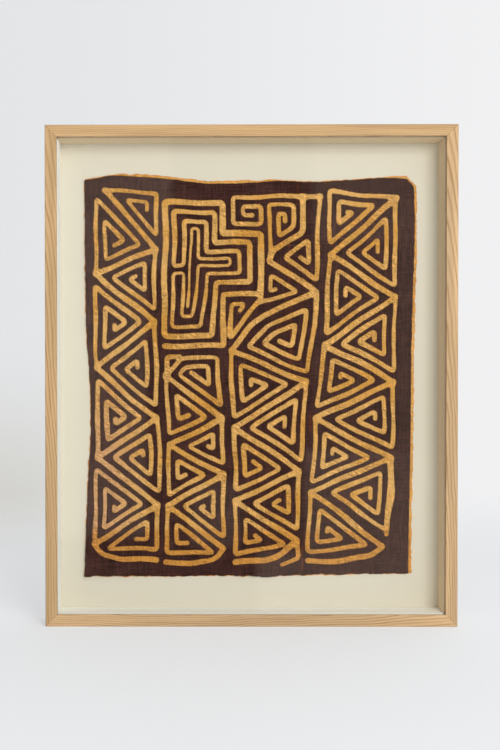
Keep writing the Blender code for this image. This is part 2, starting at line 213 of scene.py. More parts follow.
# Painted shadow: the lower left corner of the backdrop is painted darker and warmer
wall_shadow_share = spread(tree, way["Z"], *SHADOW_CORNER_UP)
wall_shadow_share = maths(tree, "MULTIPLY", wall_shadow_share, spread(tree, way["X"], *SHADOW_CORNER_ACROSS))
backdrop = mix_colour(tree, wall_shadow_share, backdrop, BACKDROP_PAINTED_SHADOW)
seen = add(tree, "ShaderNodeBackground", {"Color": backdrop})
room_tone = mix_colour(tree, spread(tree, way["X"], *ROOM_TURN), LEFT_LIGHT, RIGHT_LIGHT)
lit = add(tree, "ShaderNodeBackground", {"Color": room_tone, "Strength": ROOM_LIGHT})

ahead = maths(tree, "MAXIMUM", maths(tree, "MULTIPLY", way["Y"], -1.0), LEAST_AHEAD)
slopes = {"across": maths(tree, "DIVIDE", way["X"], ahead), "up": maths(tree, "DIVIDE", way["Z"], ahead)}
mirrored = MIRROR_DIM
for card in CARDS:
    shown = card["bright"]
    for direction, slope in slopes.items():
        low, high = card[direction]
        shown = maths(tree, "MULTIPLY", shown, spread(tree, slope, low - CARD_SOFT, low + CARD_SOFT))
        shown = maths(tree, "MULTIPLY", shown, spread(tree, slope, high + CARD_SOFT, high - CARD_SOFT))
    mirrored = maths(tree, "MAXIMUM", mirrored, shown)
glazed = add(tree, "ShaderNodeBackground", {"Color": MIRROR_TINT, "Strength": mirrored})
path = add(tree, "ShaderNodeLightPath").outputs
mirror_ray = maths(tree, "MAXIMUM", path["Is Glossy Ray"], path["Is Transmission Ray"])
around = mix_shader(tree, mirror_ray, lit, glazed)
both = mix_shader(tree, path["Is Camera Ray"], around, seen)
tree.links.new(both.outputs[0], tree.nodes["World Output"].inputs["Surface"])


def soft_lamp(name, place, aim, size, power, colour):
    """A square area lamp that looks at a point."""
    data = bpy.data.lights.new(name, "AREA")
    data.shape = "SQUARE"
    data.size = size
    data.energy = power
    data.color = colour
    lamp = in_scene(name, data)
    lamp.location = place
    lamp.rotation_euler = (Vector(aim) - Vector(place)).to_track_quat("-Z", "Y").to_euler()
    return lamp


KEY_LAMP = {"place": (1.1, -2.5, 1.35), "aim": (0.0, 0.0, 0.32), "size": 1.2, "power": 40.0}
key = soft_lamp("key_lamp", colour=RIGHT_LIGHT[:3], **KEY_LAMP)
key.visible_glossy = False
key.visible_transmission = False

# Frame rails. Four lengths of pale oak with an L-shaped section, planed, mitred and glued at the corners,
# with rubbed arrises and a thin oiled finish. The lip in front holds the glass.
FACE = 0.015
WALL = 0.009
LIP_THICK = 0.004
OUTER_ARRIS = 0.0011
INNER_ARRIS = 0.0007
LIP_ARRIS = 0.0002
REAR_ARRIS = 0.0004
SHARP_FROM = math.radians(38)
MITRE_GAP = 0.00012
ARC_STEPS = 4
FRAME_WIDE = cad_high.x - cad_low.x
FRAME_HIGH = cad_high.z - cad_low.z


def arc(corner, before, after, radius):
    """A rounded corner, as points from the side towards before to the side towards after."""
    corner, before, after = Vector(corner), Vector(before), Vector(after)
    one = (before - corner).normalized()
    other = (after - corner).normalized()
    points = []
    for i in range(ARC_STEPS + 1):
        turn = i / ARC_STEPS * math.pi / 2
        points.append(corner + one * radius * (1 - math.sin(turn)) + other * radius * (1 - math.cos(turn)))
    return points


front, back = cad_low.y, cad_high.y
SECTION = [
    (0.0, back, INNER_ARRIS),
    (0.0, front, OUTER_ARRIS),
    (FACE, front, INNER_ARRIS),
    (FACE, front + LIP_THICK, LIP_ARRIS),
    (WALL, front + LIP_THICK, LIP_ARRIS),
    (WALL, back, REAR_ARRIS),
]
rail_section = []
for i, (inward, depth, radius) in enumerate(SECTION):
    before, after = SECTION[i - 1][:2], SECTION[(i + 1) % len(SECTION)][:2]
    rail_section += arc((inward, depth), before, after, radius)


def node_group(name, kind, inputs, outputs):
    """An empty node group with its sockets by name and kind, the values given to it, and its results."""
    group = bpy.data.node_groups.new(name, kind)
    for in_out, sockets in (("INPUT", inputs), ("OUTPUT", outputs)):
        for socket, what in sockets.items():
            group.interface.new_socket(socket, in_out=in_out, socket_type="NodeSocket" + what)
    return group, group.nodes.new("NodeGroupInput").outputs, group.nodes.new("NodeGroupOutput").inputs


def grey(tree, value):
    """A colour or a vector whose three parts are one value."""
    return add(tree, "ShaderNodeCombineXYZ", {0: value, 1: value, 2: value}).outputs[0]


def weighted(tree, *terms, base=0.0):
    """The sum of a base and of some values, each times its weight."""
    for value, weight in terms:
        base = maths(tree, "MULTIPLY_ADD", value, weight, base)
    return base


# Parts of a year's ring, from 0 to 1, where the wood of spring ends and that of summer begins
EARLY_WOOD = (0.02, 0.42)
LATE_WOOD = (0.55, 0.98)
OAK_PORE = (0.20, 0.105, 0.045, 1)
OAK_BUMP = (0.35, 0.00025)


def grain_group():
    """Oak: growth rings round a tree's centre, fibres and open pores along the grain. Place is a point's
    place along the rail, inward and in depth. Heart is the tree's centre from the rail's corner, in those
    last two."""
    inputs = {"Place": "Vector", "Heart": "Vector", "Lean": "Float", "Ring": "Float", "Seed": "Float"}
    inputs |= {"Pale": "Color", "Dark": "Color"}
    outputs = {"Color": "Color", "Height": "Float", "Rough": "Float"}
    group, given, result = node_group("oak_grain", "ShaderNodeTree", inputs, outputs)
    shifted = vector_maths(group, "ADD", given["Place"], grey(group, given["Seed"]))
    split = parts(group, given["Place"])
    heart = parts(group, given["Heart"])

    def streaks(along, across, detail=2.0):
        """Noise that is long along the grain, scaled by cycles per metre along and across it."""
        return lumps(group, shifted, (along, across, across), detail)

    wander = maths(group, "SUBTRACT", streaks(5.0, 12.0, 1.0), 0.5)
    ripple = maths(group, "SUBTRACT", streaks(22.0, 70.0, 1.0), 0.5)
    off_centre = maths(group, "SUBTRACT", split["Y"], heart["Y"])
    inward = weighted(group, (wander, 0.016), (ripple, 0.0045), base=off_centre)
    off_centre = maths(group, "SUBTRACT", split["Z"], heart["Z"])
    deep = weighted(group, (given["Lean"], split["X"]), base=off_centre)
    radius = maths(group, "SQRT", weighted(group, (inward, inward), (deep, deep)))
    rings = maths(group, "DIVIDE", radius, given["Ring"])
    part = maths(group, "FRACT", rings)
    count = maths(group, "FLOOR", rings)
    year = add(group, "ShaderNodeTexWhiteNoise", {"W": count}, noise_dimensions="1D").outputs["Value"]
    early = maths(group, "SUBTRACT", 1.0, spread(group, part, *EARLY_WOOD))
    late = spread(group, part, *LATE_WOOD)
    band = weighted(group, (early, 0.75), (late, 0.35))
    band = maths(group, "MULTIPLY", band, weighted(group, (year, 0.7), base=0.45))
    fibre = streaks(14.0, 900.0)
    fine = streaks(70.0, 3200.0)
    pore = spread(group, streaks(330.0, 5200.0, 1.0), 0.60, 0.70)
    pore = maths(group, "MULTIPLY", pore, maths(group, "ADD", 0.25, early))
    tone = weighted(group, (fibre, 0.85), (fine, 0.4), base=band)
    tone = maths(group, "SUBTRACT", tone, 0.62, clamp=True)
    colour = mix_colour(group, tone, given["Pale"], given["Dark"])
    colour = mix_colour(group, maths(group, "MULTIPLY", pore, 0.45), colour, OAK_PORE)
    cloud = spread(group, streaks(4.0, 60.0), 0.3, 0.7, 0.86, 1.10)
    group.links.new(mix_colour(group, 1.0, colour, grey(group, cloud), "MULTIPLY"), result["Color"])
    group.links.new(weighted(group, (fine, 0.25), (pore, -1.0), (band, -0.2)), result["Height"])
    group.links.new(weighted(group, (tone, 0.16), base=0.44), result["Rough"])
    return group


def give_bump(tree, shader, height, strength, distance):
    """Feeds a height to the shader's normal."""
    bump = add(tree, "ShaderNodeBump", {"Height": height, "Strength": strength, "Distance": distance})
    feed(tree, shader, {"Normal": bump.outputs["Normal"]})


oak_grain = grain_group()


def oak(name, heart, lean, ring, seed, pale, dark):
    """Oak with its own tree centre and tone, read from the rail's own grain directions."""
    made, tree, shader = new_material(name)
    grain = add(tree, "ShaderNodeAttribute", attribute_name="grain").outputs["Vector"]
    feeds = {"Place": grain, "Heart": heart, "Lean": lean, "Ring": ring, "Seed": seed}
    feeds |= {"Pale": pale, "Dark": dark}
    out = add(tree, "ShaderNodeGroup", feeds, node_tree=oak_grain).outputs
    feed(tree, shader, {"Base Color": out["Color"], "Roughness": out["Rough"]})
    give_bump(tree, shader, out["Height"], *OAK_BUMP)
    return made


def new_piece(name, verts, faces, surface, smooth=False):
    """A mesh object at the origin, with its place in its mesh."""
    mesh = bpy.data.meshes.new(name)
    mesh.from_pydata([tuple(v) for v in verts], [], faces)
    mesh.materials.append(surface)
    if smooth:
        mesh.shade_smooth()
    return in_scene(name, mesh)


def face_outwards(piece):
    """Turns a closed mesh's faces so that they all point out."""
    body = bmesh.new()
    body.from_mesh(piece.data)
    bmesh.ops.recalc_face_normals(body, faces=body.faces[:])
    if body.calc_volume(signed=True) < 0:
        bmesh.ops.reverse_faces(body, faces=body.faces[:])
    body.to_mesh(piece.data)
    body.free()


def rail(node, length, place, surface):
    """One mitred rail, made as its section drawn out along the grain. place turns along, inward and depth
    into x, y, z."""
    near = [(inward + MITRE_GAP, inward, depth) for inward, depth in rail_section]
    far = [(length - inward - MITRE_GAP, inward, depth) for inward, depth in rail_section]
    n = len(rail_section)
    sides = [(i, (i + 1) % n, (i + 1) % n + n, i + n) for i in range(n)]
    ends = [tuple(range(n - 1, -1, -1)), tuple(range(n, 2 * n))]
    made = new_piece("oak_" + node, [place(*p) for p in near + far], sides + ends, surface, smooth=True)
    grain = made.data.attributes.new("grain", "FLOAT_VECTOR", "POINT")
    grain.data.foreach_set("vector", np.array(near + far, np.float32).ravel())
    face_outwards(made)
    made.data.set_sharp_from_angle(angle=SHARP_FROM)
    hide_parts(node)
    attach(made, "root")


half = FRAME_WIDE / 2
WARM = (0.630, 0.415, 0.208, 1)
WARM_DARK = (0.34, 0.175, 0.062, 1)
PALE = (0.69, 0.465, 0.250, 1)
PALE_DARK = (0.36, 0.195, 0.078, 1)
oak_bottom = oak("oak_lower", (0, 0.040, -0.016), 0.07, 0.0026, 3.1, PALE, WARM_DARK)
oak_top = oak("oak_upper", (0, -0.052, -0.012), 0.03, 0.0024, 7.7, WARM, WARM_DARK)
oak_left = oak("oak_left_side", (0, -0.030, -0.022), 0.10, 0.0033, 12.4, WARM, WARM_DARK)
oak_right = oak("oak_right_side", (0, 0.028, -0.020), 0.075, 0.0031, 21.9, PALE, PALE_DARK)
rail("rail_bottom", FRAME_WIDE, lambda along, inward, depth: (along - half, depth, inward), oak_bottom)
rail("rail_top", FRAME_WIDE, lambda along, inward, depth: (along - half, depth, FRAME_HIGH - inward), oak_top)
rail("rail_left", FRAME_HIGH, lambda along, inward, depth: (inward - half, depth, along), oak_left)
rail("rail_right", FRAME_HIGH, lambda along, inward, depth: (half - inward, depth, along), oak_right)

# Glass. One flat pane of clear picture glass, 2 mm thick, cut to the rebate and laid in it against the lip.
# The strips behind it hold it in place. Shadows and soft light pass through it without being bent.
GLASS_CLEAR = (0.985, 0.995, 0.99, 1)
GLASS_PASSES = (0.955, 0.962, 0.958, 1)
clear_glass, tree, shader = new_material("clear_glass")
feed(tree, shader, {"Base Color": GLASS_CLEAR, "Roughness": 0.0, "IOR": 1.5, "Transmission Weight": 1.0})
passed = add(tree, "ShaderNodeBsdfTransparent", {"Color": GLASS_PASSES})
path = add(tree, "ShaderNodeLightPath").outputs
unseen = maths(tree, "MAXIMUM", path["Is Shadow Ray"], path["Is Diffuse Ray"])
pane = mix_shader(tree, unseen, shader, passed)
tree.links.new(pane.outputs[0], tree.nodes["Material Output"].inputs["Surface"])
glass_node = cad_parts["glass_pane"]
glass_node.data.materials.clear()
glass_node.data.materials.append(clear_glass)

# Spacers and mount board. Strips of thick cream rag board line the box between the glass and the mount board,
# which is of the same board. Their edges are cut clean with a knife and very slightly soft. The strips carry
# painted light and shade: those on the left and below are painted whiter, as lit, and those at the top and
# right darker and warmer, as in shade.
BOARD_CREAM = (0.79, 0.735, 0.615, 1)
BOARD_CREAM_LOW = (0.77, 0.715, 0.59, 1)
# Painted light and shade: a whiter copy of the strips' board for the lit left and lower strips, a darker,
# warmer copy for the shaded top and right ones
STRIP_PAINTED_LIGHT = (0.97, 0.96, 0.90, 1)
STRIP_PAINTED_LIGHT_LOW = (0.955, 0.94, 0.87, 1)
STRIP_PAINTED_SHADE = (0.80, 0.64, 0.43, 1)
STRIP_PAINTED_SHADE_LOW = (0.78, 0.61, 0.40, 1)
EDGE_SOFT = 0.00025


def rag_board(name, pale, deep):
    """Thick rag board: soft pulp with a few fibres in it, in two near tones."""
    made, tree, shader = new_material(name)
    place = own_place(tree)
    pulp = lumps(tree, place, 900.0, 3.0)
    fibres = lumps(tree, place, (260, 900, 1400))
    tone = weighted(tree, (pulp, 0.45), (lumps(tree, place, 9.0, 3.0), 0.55))
    colour = mix_colour(tree, spread(tree, tone, 0.25, 0.75), pale, deep)
    feed(tree, shader, {"Base Color": colour, "Roughness": spread(tree, fibres, 0.2, 0.8, 0.82, 0.95)})
    give_bump(tree, shader, maths(tree, "ADD", pulp, fibres), 0.12, 0.0001)
    return made


def board(node, surface):
    """A board or strip in its place in the box, with softened edges."""
    low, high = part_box(node)
    body = bmesh.new()
    bmesh.ops.create_cube(body, size=1.0)
    middle, size = (low + high) / 2, high - low
    for v in body.verts:
        v.co = middle + Vector(a * b for a, b in zip(v.co, size))
    bmesh.ops.bevel(body, geom=body.edges[:], offset=EDGE_SOFT, segments=2, profile=0.5, affect="EDGES")
    mesh = bpy.data.meshes.new("cut_" + node)
    body.to_mesh(mesh)
    body.free()
    mesh.materials.append(surface)
    made = in_scene("cut_" + node, mesh)
    face_outwards(made)
    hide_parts(node)
    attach(made, "root")


mount_card = rag_board("cream_mount", BOARD_CREAM, BOARD_CREAM_LOW)
lit_card_painted = rag_board("strips_painted_light", STRIP_PAINTED_LIGHT, STRIP_PAINTED_LIGHT_LOW)
shaded_card_painted = rag_board("strips_painted_shade", STRIP_PAINTED_SHADE, STRIP_PAINTED_SHADE_LOW)
board("mount_board", mount_card)
# The left and lower strips get the painted light, the top and right ones the painted shade
for node in ("spacer_left", "spacer_bottom"):
    board(node, lit_card_painted)
for node in ("spacer_top", "spacer_right"):
    board(node, shaded_card_painted)

# Backing board. A sheet of brown hardboard, pressed from fine wood chips, is cut to the box's inside and
# closes it at the back. It is set in from the rails' rear faces, with its smooth face out.
HARDBOARD = [(0.40, 0.25, 0.14, 1), (0.22, 0.125, 0.062, 1)]
brown_board, tree, shader = new_material("brown_hardboard")
place = own_place(tree)
feeds = {"Vector": place, "Scale": 420.0, "Detail": 5.0, "Roughness": 0.7}
chips = add(tree, "ShaderNodeTexNoise", feeds).outputs[0]
tone = weighted(tree, (chips, 0.85), (lumps(tree, place, 14.0, 4.0), 0.15))
colour = mix_colour(tree, spread(tree, tone, 0.3, 0.7), *HARDBOARD)
feed(tree, shader, {"Base Color": colour, "Roughness": spread(tree, chips, 0.3, 0.7, 0.55, 0.8)})
give_bump(tree, shader, chips, 0.3, 0.0003)
board("backing_board", brown_board)

# Ochre cloth. A plain-woven cotton of warm ochre, the ground of the panel, laid over the mount board and
# held to it by a few stitches. Its edges are folded under, and the stitching above puckers it a little.

# Pattern of the sewn lines, in mm from the cloth's lower left corner. Four columns hold a zigzag line
# each, and every bend of the zigzag holds a line that coils inwards. A stepped fret fills the upper
# middle. All of it is laid out by these few places and then drawn as if by hand, a little uneven.
MM = 0.001
CLOTH_LEFT = -216.0
CLOTH_LOW = 57.0
PITCH = 12.0
COIL_WIDE = 5.7
SPINE_WIDE = 7.0
FRET_WIDE = 8.4
FRET_NARROW = 3.6
HOOK_END_WIDE = 4.6
WOBBLE = 0.9
LEG_STEP = 7.0
BEND_ROUND = 8.0
SPINE_TIGHT = 1.8
COIL_TIGHT = 4.6
WIDER = 0.25
BEND_STEPS = (0.0, 0.25, 0.5, 0.75, 1.0)

# Zigzag of each column, from the top down, and the tail that ends it. Columns: across, up
FIRST_ZIGZAG = [
    (27, 507),
    (93, 430),
    (14, 397),
    (91.5, 333),
    (16, 273),
    (95, 207),
    (17, 156),
    (95, 94),
    (13, 42),
]
FIRST_TAIL = [(21, 29), (48, 22), (94, 22)]
SECOND_ZIGZAG = [(106, 263), (180, 208), (112, 173), (181, 133), (109, 92), (183, 38)]
SECOND_TAIL = [(172, 23), (142, 17), (106, 20)]
SECOND_HEAD = [(106, 263), (107, 289), (124, 290)]
GATE, POST, ELBOW = (285, 497), (288, 451), (245, 427)
THIRD_LEG = [(241, 414), (304, 372), (280, 361), (258, 353), (236, 341), (215, 326)]
THIRD_ZIGZAG = [(191, 296), (291, 256), (197, 196), (281, 139), (197, 99), (279, 46)]
THIRD_TAIL = [(255, 27), (235, 20), (199, 18)]
THIRD_HOOK = [(279, 46), (281, 24), (258, 16)]
FOURTH_ZIGZAG = [
    (408, 494),
    (322, 421),
    (405, 367),
    (314, 304),
    (405, 256),
    (304, 207),
    (402, 154),
    (296, 111),
    (390, 40),
]
FOURTH_TAIL = [(373, 27), (335, 21), (293, 21)]
WIDE_SIDE = [(400, 150), (404, 108), (396, 56)]

# Cells that the zigzags' bends don't give, or not in their shape: their corners, how many sides lie on them,
# and where the line comes in from
CELLS = [
    {"corners": [(27, 507), (94, 501), (93, 430)], "free": 2},
    {"corners": [(14, 397), (17, 514), (93, 430)], "free": 1},
    {"corners": [(95, 207), (101, 160), (95, 98), (17, 156)], "free": 2},
    {"corners": [(95, 94), (94, 23), (-8, 26)], "free": 1},
    {"corners": [(106, 263), (126, 288), (174, 286), (180, 208)], "free": 3},
    {"corners": [(109, 92), (106, 20), (205, 20)], "free": 1},
    {"corners": [(230, 497), (194, 497), (194, 461), (230, 461)], "free": 4, "start": (307, 497)},
    {"corners": [(244, 424), (240, 498), (285, 497), (288, 451)], "free": 1},
    {"corners": [(307, 466), (304, 373), (241, 418)], "free": 1, "start": (307, 497)},
    {"corners": [(231, 360), (293, 376), (231, 420)], "free": 1},
    {"corners": [(236, 368), (176, 297), (182, 371)], "free": 1, "start": (232, 364)},
    {"corners": [(304, 367), (291, 256), (191, 296), (236, 340)], "free": 1},
    {"corners": [(197, 99), (199, 16), (292, 36)], "free": 1},
    {"corners": [(409, 496), (319, 504), (322, 421)], "free": 2},
    {"corners": [(401, 154), (396, 48), (296, 111)], "free": 1},
    {"corners": [(296, 111), (293, 20), (400, 34)], "free": 1},
]

# Chart of the fret: each column's place above and below the step of its foot, each row's height, and the
# line's corners, as column and row
FRET_COLUMNS = [
    (105.5, 105.5),
    (117, 116),
    (130, 128),
    (140, 135),
    (149, 142),
    (160, 153),
    (171, 167),
    (181, 181),
    (192, 192),
    (204, 204),
    (217, 217),
    (231, 231),
]
FRET_ROWS = [303, 316, 328, 341, 353, 371, 386, 397, 407, 416, 425, 437, 448.5, 457, 466, 478, 490]
FOOT_ROWS = 6
FRET_OUTER = [(11, 5), (11, 12), (7, 12), (7, 16), (0, 16), (0, 1)]
FRET_OUTER += [(6, 1), (6, 6), (10, 6), (10, 11), (6, 11)]
FRET_MIDDLE = [(6, 15), (1, 15), (1, 8), (2, 8), (2, 14), (5, 14)]
FRET_MIDDLE += [(5, 10), (9, 10), (9, 7), (5, 7), (5, 2)]
FRET_INNER = [(1, 2), (1, 7), (2, 7), (2, 3), (4, 3), (4, 8)]
FRET_INNER += [(8, 8), (8, 9), (4, 9), (4, 13), (3, 13), (3, 4)]
FRET_FOOT = [(0, 0), (7, 0), (7, 5), (11, 5)]

SHORTEST_SIDE = 0.55 * PITCH
SHORTEST_HOOK = 0.25 * PITCH


def coil(corners, free=1, start=None):
    """A line round a polygon's sides and on inwards, one pitch further in each time round. The first
    sides, as many as free says, lie on the polygon itself."""
    c = [np.array(p, float) for p in corners]
    n = len(c)
    area = sum(c[i][0] * c[i - n + 1][1] - c[i - n + 1][0] * c[i][1] for i in range(n))
    turn = 1 if area > 0 else -1

    def side(k):
        times_round = 0 if k < free else 1 + (k - free) // n
        along = c[(k + 1) % n] - c[k % n]
        along = along / np.linalg.norm(along)
        inward = np.array([-along[1], along[0]]) * turn
        return c[k % n] + inward * times_round * PITCH, along

    def corner(k):
        (p, d), (q, e) = side(k - 1), side(k)
        t = ((q - p)[0] * e[1] - (q - p)[1] * e[0]) / (d[0] * e[1] - d[1] * e[0])
        return p + d * t

    line = [np.array(start if start else corners[0], float)]
    k = 1
    while np.dot(corner(k) - line[-1], side(k - 1)[1]) > SHORTEST_SIDE:
        line.append(corner(k))
        k += 1
    rest = np.dot(corner(k) - line[-1], side(k - 1)[1])
    if rest > SHORTEST_HOOK:
        line.append(corner(k))
    return line


def coils_between(spine, left_starts_low):
    """A coil in each bend of a zigzag. A coil on the right starts high. One on the left starts low or
    high."""
    made = []
    for a, b, c in zip(spine, spine[1:], spine[2:]):
        on_left = a[0] < b[0]
        made.append(coil([c, a, b] if on_left and left_starts_low else [a, c, b]))
    return made


def fret_place(step):
    """The place of one of the fret's corners."""
    column, row = step
    head, foot = FRET_COLUMNS[column]
    return (foot if row < FOOT_ROWS else head, FRET_ROWS[row])


def cloth_lines():
    """Every line of the pattern: its points, its width at the start and its width at the end."""
    coils = coils_between(FIRST_ZIGZAG[1:7], True)
    coils += coils_between(FIRST_ZIGZAG[6:], True)
    coils += coils_between(SECOND_ZIGZAG, False)
    coils.append(SECOND_HEAD)
    coils += coils_between(THIRD_ZIGZAG, False)
    coils += coils_between(FOURTH_ZIGZAG[:8], False)
    for cell in CELLS:
        coils.append(coil(cell["corners"], cell["free"], cell.get("start")))
    spines = [FIRST_ZIGZAG + FIRST_TAIL, SECOND_ZIGZAG + SECOND_TAIL]
    spines += [[GATE, POST, ELBOW, *THIRD_LEG, *THIRD_ZIGZAG, *THIRD_TAIL], FOURTH_ZIGZAG + FOURTH_TAIL]
    lines = [(spine, SPINE_WIDE, SPINE_WIDE) for spine in spines]
    lines += [(line, COIL_WIDE, COIL_WIDE) for line in coils]
    lines.append((THIRD_HOOK, COIL_WIDE, HOOK_END_WIDE))
    lines.append((WIDE_SIDE, COIL_WIDE, COIL_WIDE))
    fret = FRET_OUTER + FRET_MIDDLE + FRET_INNER
    lines.append(([fret_place(step) for step in fret], FRET_WIDE, FRET_NARROW))
    lines.append(([fret_place(step) for step in FRET_FOOT], SPINE_WIDE, SPINE_WIDE))
    return lines


def hand_drawn(p):
    """Slow waves that move a point by a millimetre or two, as in lines that are cut by eye."""
    x, y = p
    across = math.sin(x / 19 + y / 31) + 0.8 * math.sin(y / 13 - x / 47 + 1.3)
    up = math.sin(y / 23 - x / 29 + 2.1) + 0.8 * math.sin(x / 11 + y / 53 + 0.4)
    return np.array([x + WOBBLE * across, y + WOBBLE * up])


def eased(line, tight):
    """The line with each corner rounded off, as it is when cotton is turned under round a bend. Sharp
    corners are rounded by the reach given, blunt ones by more."""
    p = [np.array(q, float) for q in line]
    out = [p[0]]
    for a, b, c in zip(p, p[1:], p[2:]):
        before, after = np.linalg.norm(b - a), np.linalg.norm(c - b)
        is_sharp = float((b - a) @ (c - b)) < 0.3 * before * after
        reach = min(tight if is_sharp else BEND_ROUND, 0.45 * before, 0.45 * after)
        start, end = b + (a - b) * reach / before, b + (c - b) * reach / after
        out += [(1 - t) ** 2 * start + 2 * t * (1 - t) * b + t * t * end for t in BEND_STEPS]
    return [*out, p[-1]]


def drawn_line(line, tight):
    """The line as short steps, moved by hand."""
    line = eased(line, tight)
    out = []
    for a, b in zip(line, line[1:]):
        a, b = np.array(a, float), np.array(b, float)
        steps = max(1, round(float(np.linalg.norm(b - a)) / LEG_STEP))
        out += [hand_drawn(a + (b - a) * i / steps) for i in range(steps)]
    out.append(hand_drawn(np.array(line[-1], float)))
    return out


# The cloth's four edges, as points in mm from its lower left corner.
# Columns: across, up, how far the ochre cloth shows past the dark one there
TOP_EDGE = [
    (0.5, 519.0, 1.5),
    (20.0, 522.0, 1.8),
    (38.0, 525.0, 1.5),
    (75.0, 523.0, 4.0),
    (112.0, 520.0, 3.5),
    (140.0, 516.5, 4.2),
    (165.0, 514.0, 4.0),
    (215.0, 515.0, 3.4),
    (255.0, 517.5, 1.8),
    (300.0, 516.0, 1.2),
    (350.0, 518.5, 1.5),
    (390.0, 521.5, 1.6),
    (421.0, 520.0, 4.0),
]
RIGHT_EDGE = [
    (430.5, 510.0, 3.4),
    (431.6, 470.0, 2.8),
    (431.4, 440.0, 3.4),
    (429.0, 370.0, 4.2),
    (427.2, 290.0, 4.0),
    (426.4, 180.0, 4.0),
    (424.6, 80.0, 4.2),
    (423.5, 5.0, 4.6),
]
BOTTOM_EDGE = [
    (422.0, 4.6, 1.2),
    (370.0, 4.0, 1.0),
    (300.0, 2.8, 1.4),
    (235.0, 0.5, 1.0),
    (180.0, 1.5, 1.2),
    (120.0, 0.2, 1.0),
    (60.0, 1.0, 1.2),
    (0.5, 0.4, 1.0),
]
LEFT_EDGE = [
    (0.0, 2.0, 0.6),
    (2.0, 60.0, 0.8),
    (5.5, 140.0, 0.8),
    (8.2, 180.0, 1.0),
    (8.0, 240.0, 1.0),
    (3.0, 320.0, 0.8),
    (1.6, 400.0, 0.8),
    (1.0, 480.0, 0.8),
    (0.4, 517.0, 0.8),
]
EDGE_STEP = 4.0
EDGE_UNEVEN = 0.35
EDGE_SEED = 12
noise.seed_set(EDGE_SEED)


def smooth_edge(rows, past):
    """Points along one edge of a cloth, curved through the table's rows. past pushes them out by the third
    column."""
    p = [np.array(row, float) for row in rows]
    p = [2 * p[0] - p[1], *p, 2 * p[-1] - p[-2]]
    out = []
    for a, b, c, d in zip(p, p[1:], p[2:], p[3:]):
        steps = max(1, round(float(np.linalg.norm((c - b)[:2])) / EDGE_STEP))
        for i in range(steps):
            t = i / steps
            q = b + 0.5 * t * (c - a) + t * t * (a - 2.5 * b + 2 * c - 0.5 * d)
            q = q + t**3 * (1.5 * (b - c) + 0.5 * (d - a))
            out.append((q[0] + past[0] * q[2], q[1] + past[1] * q[2]))
    last = rows[-1]
    out.append((last[0] + past[0] * last[2], last[1] + past[1] * last[2]))
    return out


def cloth_outline(ochre):
    """The closed outline of one of the two cloths, clockwise from its upper left corner, slightly uneven."""
    edges = [(TOP_EDGE, (0, 1)), (RIGHT_EDGE, (1, 0)), (BOTTOM_EDGE, (0, -1)), (LEFT_EDGE, (-1, 0))]
    out = []
    for rows, way in edges:
        for x, y in smooth_edge(rows, way if ochre else (0, 0)):
            jolt = noise.noise_vector(Vector((x / 9, y / 9, 5.0 if ochre else 0.0))) * EDGE_UNEVEN
            out.append((x + jolt.x, y + jolt.y))
    return out


# Distances in mm on a fine grid over the cloth, from which both sheets are cut
CELL = 0.6
GRID_LOW = np.array([-9.0, -9.0])
GRID_WIDE, GRID_HIGH = 750, 905
FAR = 12.0
grid_across = GRID_LOW[0] + CELL * np.arange(GRID_WIDE)
grid_up = GRID_LOW[1] + CELL * np.arange(GRID_HIGH)


def near_line(points, widths, closed=False):
    """Distance from every grid point to the edge of a drawn line, less than zero on the line itself."""
    field = np.full((GRID_HIGH, GRID_WIDE), FAR)
    pairs = list(zip(points, points[1:], widths, widths[1:]))
    if closed:
        pairs.append((points[-1], points[0], widths[-1], widths[0]))
    for a, b, wide_a, wide_b in pairs:
        a, b = np.array(a), np.array(b)
        reach = FAR + max(wide_a, wide_b) / 2
        low = np.maximum(0, ((np.minimum(a, b) - reach - GRID_LOW) / CELL).astype(int))
        high = ((np.maximum(a, b) + reach - GRID_LOW) / CELL).astype(int) + 2
        high = np.minimum([GRID_WIDE, GRID_HIGH], high)
        x = grid_across[None, low[0]:high[0]]
        y = grid_up[low[1]:high[1], None]
        along = b - a
        share = ((x - a[0]) * along[0] + (y - a[1]) * along[1]) / max(1e-9, float(along @ along))
        share = np.clip(share, 0, 1)
        off = np.hypot(x - a[0] - share * along[0], y - a[1] - share * along[1])
        off -= (wide_a + (wide_b - wide_a) * share) / 2
        patch = field[low[1]:high[1], low[0]:high[0]]
        np.minimum(patch, off, out=patch)
    return field


def inside_outline(points):
    """Distance from every grid point to an outline, more than zero inside it."""
    inside = np.zeros((GRID_HIGH, GRID_WIDE), bool)
    for (ax, ay), (bx, by) in zip(points, [*points[1:], points[0]]):
        rows = (grid_up > min(ay, by)) & (grid_up <= max(ay, by))
        if rows.any():
            crossing = ax + (grid_up[rows] - ay) / (by - ay) * (bx - ax)
            inside[rows] ^= grid_across[None, :] > crossing[:, None]
    off = near_line(points, [0.0] * len(points), closed=True)
    return np.where(inside, off, -off)


def slow_noise(size, seed):
    """Smooth seeded noise on the grid, about -1 to 1, with lumps of a size in mm."""
    rng = np.random.default_rng(seed)
    wide, high = int(GRID_WIDE * CELL / size) + 4, int(GRID_HIGH * CELL / size) + 4
    coarse = rng.uniform(-1, 1, (high, wide))
    x = np.arange(GRID_WIDE) * CELL / size + 1
    y = np.arange(GRID_HIGH) * CELL / size + 1

    def spline(table, at):
        i = at.astype(int)
        t = at - i
        weights = [(1 - t) ** 3, 3 * t**3 - 6 * t**2 + 4, -3 * t**3 + 3 * t**2 + 3 * t + 1, t**3]
        return sum(weight[:, None] / 6 * table[i - 1 + k] for k, weight in enumerate(weights))

    return spline(spline(coarse, y).T, x).T * 1.7


